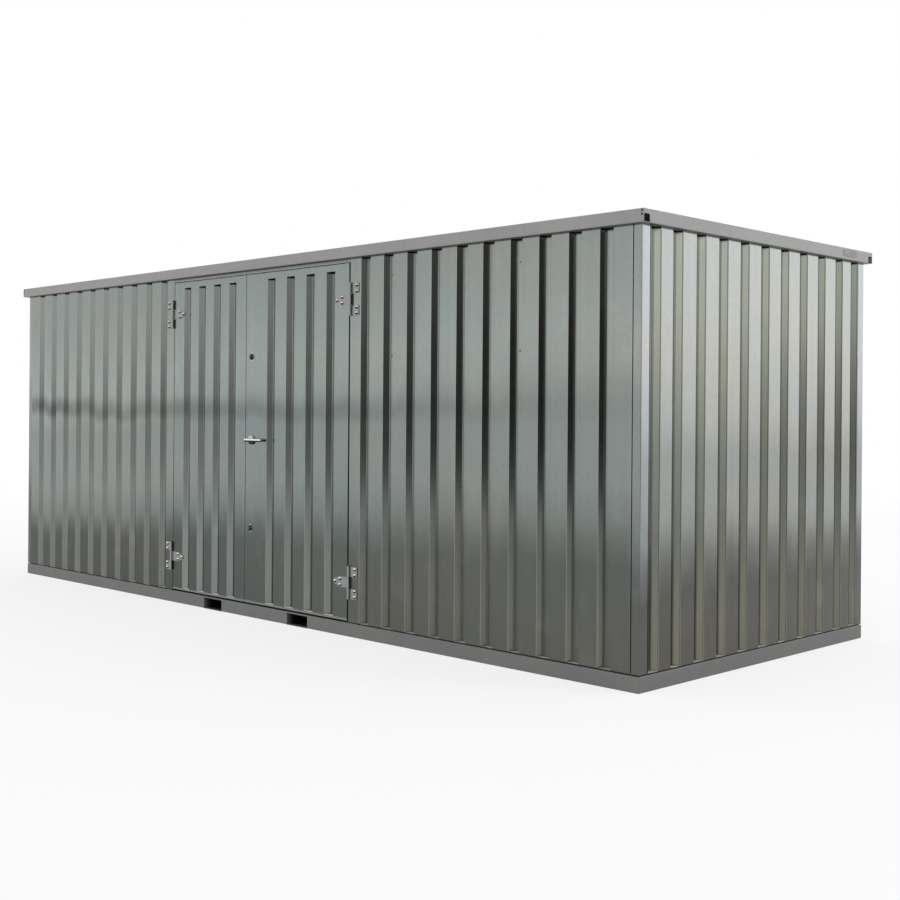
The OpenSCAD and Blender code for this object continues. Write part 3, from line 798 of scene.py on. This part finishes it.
knob_low, knob_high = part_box("lock_knobs")
knob_r = (knob_high.x - knob_low.x) / 2
ring_size = (BUTTON_SHARE * knob_r, BUTTON_HEIGHT, RING_SHARE * knob_r)
ring_y = -face_y - RING_OUT
knob_heights = (knob_low.z + knob_r, knob_high.z - knob_r)
ring_points = [(knob_low.x + knob_r, ring_y, z) for z in knob_heights]
domes("knob_rings", ring_points, ring_size, "right_leaf", finish=ring_steel)

# %% [markdown]
# ## Rivets where the sheets lap
# A sheet covers five grooves, and it laps the next one in the floor of a groove, where a
# few rivets hold both. The floors are found by looking at which faces of the wall's mesh
# lie at the groove's depth, so the rivets follow the sheet if its size changes.

# %% Find the groove floors of a wall
SHEET_THICKNESS = 0.001
NEAR = 1e-4


def flats(node, level):
    """Starts and ends along X of the flats that a wall has at one depth, in order."""
    mesh = nodes[node].data
    spans = []
    for polygon in mesh.polygons:
        points = [mesh.vertices[i].co for i in polygon.vertices]
        if all(abs(p.y - level) < NEAR for p in points):
            spans.append((min(p.x for p in points), max(p.x for p in points)))
    merged = []
    for low, high in sorted(spans):
        if merged and low < merged[-1][1] + NEAR:
            merged[-1][1] = max(merged[-1][1], high)
        else:
            merged.append([low, high])
    return merged


groove_floor_y = wall_high.y - SHEET_THICKNESS
floors = flats("front_wall_right", groove_floor_y)
print(len(floors), "grooves in the right front wall, the first from", [round(v, 3) for v in floors[0]])

# %% Rivets in the lapped grooves
LAP_RIVET = (0.0048, 0.003, 0.0058)
LAP_GROOVES = (1, 6)
LAP_HEIGHTS = (0.22, 0.67, 1.72, 2.2)

rivet_y = groove_floor_y - 0.0006
lap_x = [sum(floors[i]) / 2 for i in LAP_GROOVES]
lap_points = [(side * x, rivet_y, z) for side in (-1, 1) for x in lap_x for z in LAP_HEIGHTS]
domes("lap_rivets_front", lap_points, LAP_RIVET, "cabin", finish=plate_zinc)

# %% [markdown]
# ## Details of the roof rail
# Two small screws close each front corner of the roof rail. Behind the drain slots at the
# corners, near-black plates close the ends of the gutters, so that no light falls through; they
# are painted shade that keeps the slots dark. A small blank plate is riveted on near the back end
# of the right-hand rail. Both kinds of plate are so plain that their corners are worked out
# directly, without a tree.

# %% Screws at the roof corners
CORNER_SCREW = (0.0050, 0.003, 0.0058)
CORNER_SCREW_IN = 0.011
CORNER_SCREW_Z = (2.364, 2.383)

screw_x = rail_high.x - CORNER_SCREW_IN
screws = [(side * screw_x, rail_low.y, z) for side in (-1, 1) for z in CORNER_SCREW_Z]
domes("roof_corner_screws", screws, CORNER_SCREW, "cabin", finish=knob_steel)

# %% A piece made of upright boxes
BOX_SIDES = ((0, 1, 3, 2), (4, 6, 7, 5), (0, 4, 5, 1), (2, 3, 7, 6), (0, 2, 6, 4), (1, 5, 7, 3))


def plain_piece(name, verts, faces, finish, body, slot):
    mesh = bpy.data.meshes.new(name)
    mesh.from_pydata(verts, [], faces)
    mesh.materials.append(finish)
    piece = bpy.data.objects.new(name, mesh)
    bpy.context.scene.collection.objects.link(piece)
    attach(piece, body)


def upright_boxes(boxes):
    """Corners and faces of boxes, each given by its spans along X, Y and Z."""
    verts, faces = [], []
    for span_x, span_y, span_z in boxes:
        first = len(verts)
        verts += [(x, y, z) for x in span_x for y in span_y for z in span_z]
        faces += [tuple(first + i for i in side) for side in BOX_SIDES]
    return verts, faces


# %% Plates behind the drain slots
GUTTER_PLATE_IN = (0.030, 0.028)
GUTTER_PLATE_Y = (0.085, 0.004)

end_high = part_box("roof_right_rail")[1]
gutter_z = (wall_top + 0.0035, end_high.z - 0.004)
gutter_boxes = []
for side_x in (-1, 1):
    for side_y in (-1, 1):
        span_x = sorted(side_x * (end_high.x - back) for back in GUTTER_PLATE_IN)
        span_y = sorted(side_y * (end_high.y - back) for back in GUTTER_PLATE_Y)
        gutter_boxes.append((span_x, span_y, gutter_z))
plain_piece("gutter_end_plates", *upright_boxes(gutter_boxes), gutter_paint, "cabin", "rail_paint")
print(len(gutter_boxes), "plates close the gutters behind the slots")


# %% A plate with round corners
def rounded_plate(centre, size, thickness, radius):
    """Corners and faces of a plate that faces +X, with round corners and a bevelled rim."""
    half_y, half_z = size[0] / 2, size[1] / 2
    corner_steps = 5
    rim = []
    for turn, (side_y, side_z) in enumerate(((1, 1), (-1, 1), (-1, -1), (1, -1))):
        for step in range(corner_steps):
            angle = math.radians(90 * turn + 90 / (corner_steps - 1) * step)
            y = side_y * (half_y - radius) + radius * math.cos(angle)
            z = side_z * (half_z - radius) + radius * math.sin(angle)
            rim.append((y, z))
    rings = ((0.0, 1.0), (thickness * 0.6, 1.0), (thickness, 0.985))
    verts = [
        (centre.x + out, centre.y + y * grow, centre.z + z * grow)
        for out, grow in rings for y, z in rim
    ]
    count = len(rim)
    faces = []
    for ring in range(len(rings) - 1):
        low, high = ring * count, (ring + 1) * count
        for i in range(count):
            after = (i + 1) % count
            faces.append((low + i, low + after, high + after, high + i))
    faces.append(tuple(range(count))[::-1])
    faces.append(tuple(range(2 * count, 3 * count)))
    return verts, faces


# %% The blank plate
BLANK_SIZE = (0.170, 0.038)
BLANK_THICKNESS = 0.0015
BLANK_RADIUS = 0.004
BLANK_RIVET = (0.003, 0.002, 0.0032)

plate_at = Vector((rail_high.x, 0.89, 2.362))
blank = rounded_plate(plate_at, BLANK_SIZE, BLANK_THICKNESS, BLANK_RADIUS)
plain_piece("blank_plate", *blank, plate_zinc, "cabin", "bright_zinc")
plate_rivets = [(plate_at.x + BLANK_THICKNESS, plate_at.y + dy, plate_at.z) for dy in (-0.078, 0.078)]
domes("blank_plate_rivets", plate_rivets, BLANK_RIVET, "cabin", RIGHTWARD)

# %% [markdown]
# ## Floor and light
# Sheet metal shows its surroundings, so the set decides how it looks: a white room, a pale
# floor, two soft lamps towards the right-hand end, and a dark screen beside the camera.
# Without that screen the sides of the grooves would mirror a white room and disappear.


# %% A flat panel of the set
def set_panel(name, corners, finish):
    mesh = bpy.data.meshes.new(name)
    mesh.from_pydata(corners, [], [range(4)])
    mesh.materials.append(finish)
    panel = bpy.data.objects.new(name, mesh)
    bpy.context.scene.collection.objects.link(panel)
    return panel


# %% The floor
FLOOR_HALF = 80


def floor_finish():
    """Pale and matt near the cabin, where its shadow falls, and as white as the room far off."""
    f = Finish("studio_floor")
    far = (f.x * f.x + f.y * f.y).step(30.0, 200.0)
    seen = f.node("LightPath", out="Is Camera Ray")
    mirrored = seen.output("Is Glossy Ray") + seen.output("Is Transmission Ray")
    near = 0.74 * seen + 0.55 * mirrored
    matt = f.principled(base_color=(0.86, 0.86, 0.86, 1), roughness=0.95)
    white = f.node("Emission", sockets={"Color": (1, 1, 1, 1), "Strength": 1.0})
    return f.close(f.node("MixShader", sockets={0: near + far - near * far, 1: matt, 2: white}))


floor_corners = [(FLOOR_HALF * x, FLOOR_HALF * y, 0) for x, y in ((-1, -1), (1, -1), (1, 1), (-1, 1))]
set_panel("studio_floor", floor_corners, floor_finish())
print("the floor is", 2 * FLOOR_HALF, "m wide")

# %% The dark screen
SCREEN_X = 12
SCREEN_Y = (-2.8, -11.5)
SCREEN_TOP = 7


def screen_finish():
    """Nearly black at its right, with a dim haze in the middle and a paler brown at its left."""
    f = Finish("dark_screen")
    left = (0 - f.y).step(6.6, 9.6)
    high = f.z.step(1.3, 3.4)
    haze = (0 - f.y).step(4.9, 7.0) * f.z.step(0.7, 1.5)
    dark = f.mix(high, (0.012, 0.012, 0.012, 1), (0.036, 0.036, 0.036, 1))
    dark = f.mix(haze, dark, (0.125, 0.130, 0.125, 1))
    brown = f.mix(high, (0.405, 0.395, 0.385, 1), (0.89, 0.885, 0.87, 1))
    return f.finish(base_color=f.mix(left, dark, brown), roughness=0.9)


near_y, far_y = SCREEN_Y
screen_outline = ((near_y, 0), (near_y, SCREEN_TOP), (far_y, SCREEN_TOP), (far_y, 0))
screen_corners = [(SCREEN_X, y, z) for y, z in screen_outline]
screen = set_panel("dark_screen", screen_corners, screen_finish())
screen.visible_camera = False
print("the screen is", near_y - far_y, "m wide")

# %% The white room and the soft lamps
world = bpy.data.worlds.new("white_room")
world.use_nodes = True
world.node_tree.nodes["Background"].inputs["Color"].default_value = (1.0, 1.0, 1.0, 1.0)
world.node_tree.nodes["Background"].inputs["Strength"].default_value = 1.0
bpy.context.scene.world = world


def soft_lamp(name, place, target, width, height, radiance):
    lamp = bpy.data.lights.new(name, "AREA")
    lamp.shape = "RECTANGLE"
    lamp.size = width
    lamp.size_y = height
    lamp.energy = radiance * math.pi * width * height
    item = bpy.data.objects.new(name, lamp)
    item.location = place
    item.rotation_euler = (Vector(target) - Vector(place)).to_track_quat("-Z", "Y").to_euler()
    bpy.context.scene.collection.objects.link(item)
    item.visible_camera = False


soft_lamp(
    "right_end_lamp", place=(8.5, 7.0, 3.1), target=(3.2, 0.0, 3.1),
    width=7.0, height=6.2, radiance=0.5,
)
soft_lamp(
    "right_high_lamp", place=(10.0, 3.0, 8.0), target=(3.2, 0.0, 1.2),
    width=3.0, height=3.0, radiance=6.0,
)
print("two lamps and a white room")

# %% [markdown]
# ## The camera
# The camera stands off the near corner, a little above the height of the handle, with a
# moderately long lens. Its slight roll and shift come from the picture's framing.

# %% Place the camera
CAMERA_AT = (7.026, -6.175, 1.3873)
CAMERA_TURN = math.radians(43.954)
CAMERA_ROLL = math.radians(0.433)
CAMERA_SHIFT = -0.0422

camera = bpy.data.objects.new("camera", bpy.data.cameras.new("camera"))
camera.data.sensor_width = 36.0
camera.data.sensor_fit = "HORIZONTAL"
camera.data.lens = 50.91
camera.data.shift_x = CAMERA_SHIFT
camera.data.shift_y = CAMERA_SHIFT
camera.data.clip_end = 200.0
turn = Matrix.Rotation(CAMERA_TURN, 4, "Z") @ Matrix.Rotation(math.pi / 2, 4, "X")
roll = Matrix.Rotation(CAMERA_ROLL, 4, "Z")
camera.matrix_world = Matrix.Translation(CAMERA_AT) @ turn @ roll
bpy.context.scene.collection.objects.link(camera)
bpy.context.scene.camera = camera
bpy.context.scene.view_settings.view_transform = "Standard"
print("camera at", [round(v, 3) for v in camera.matrix_world.translation])
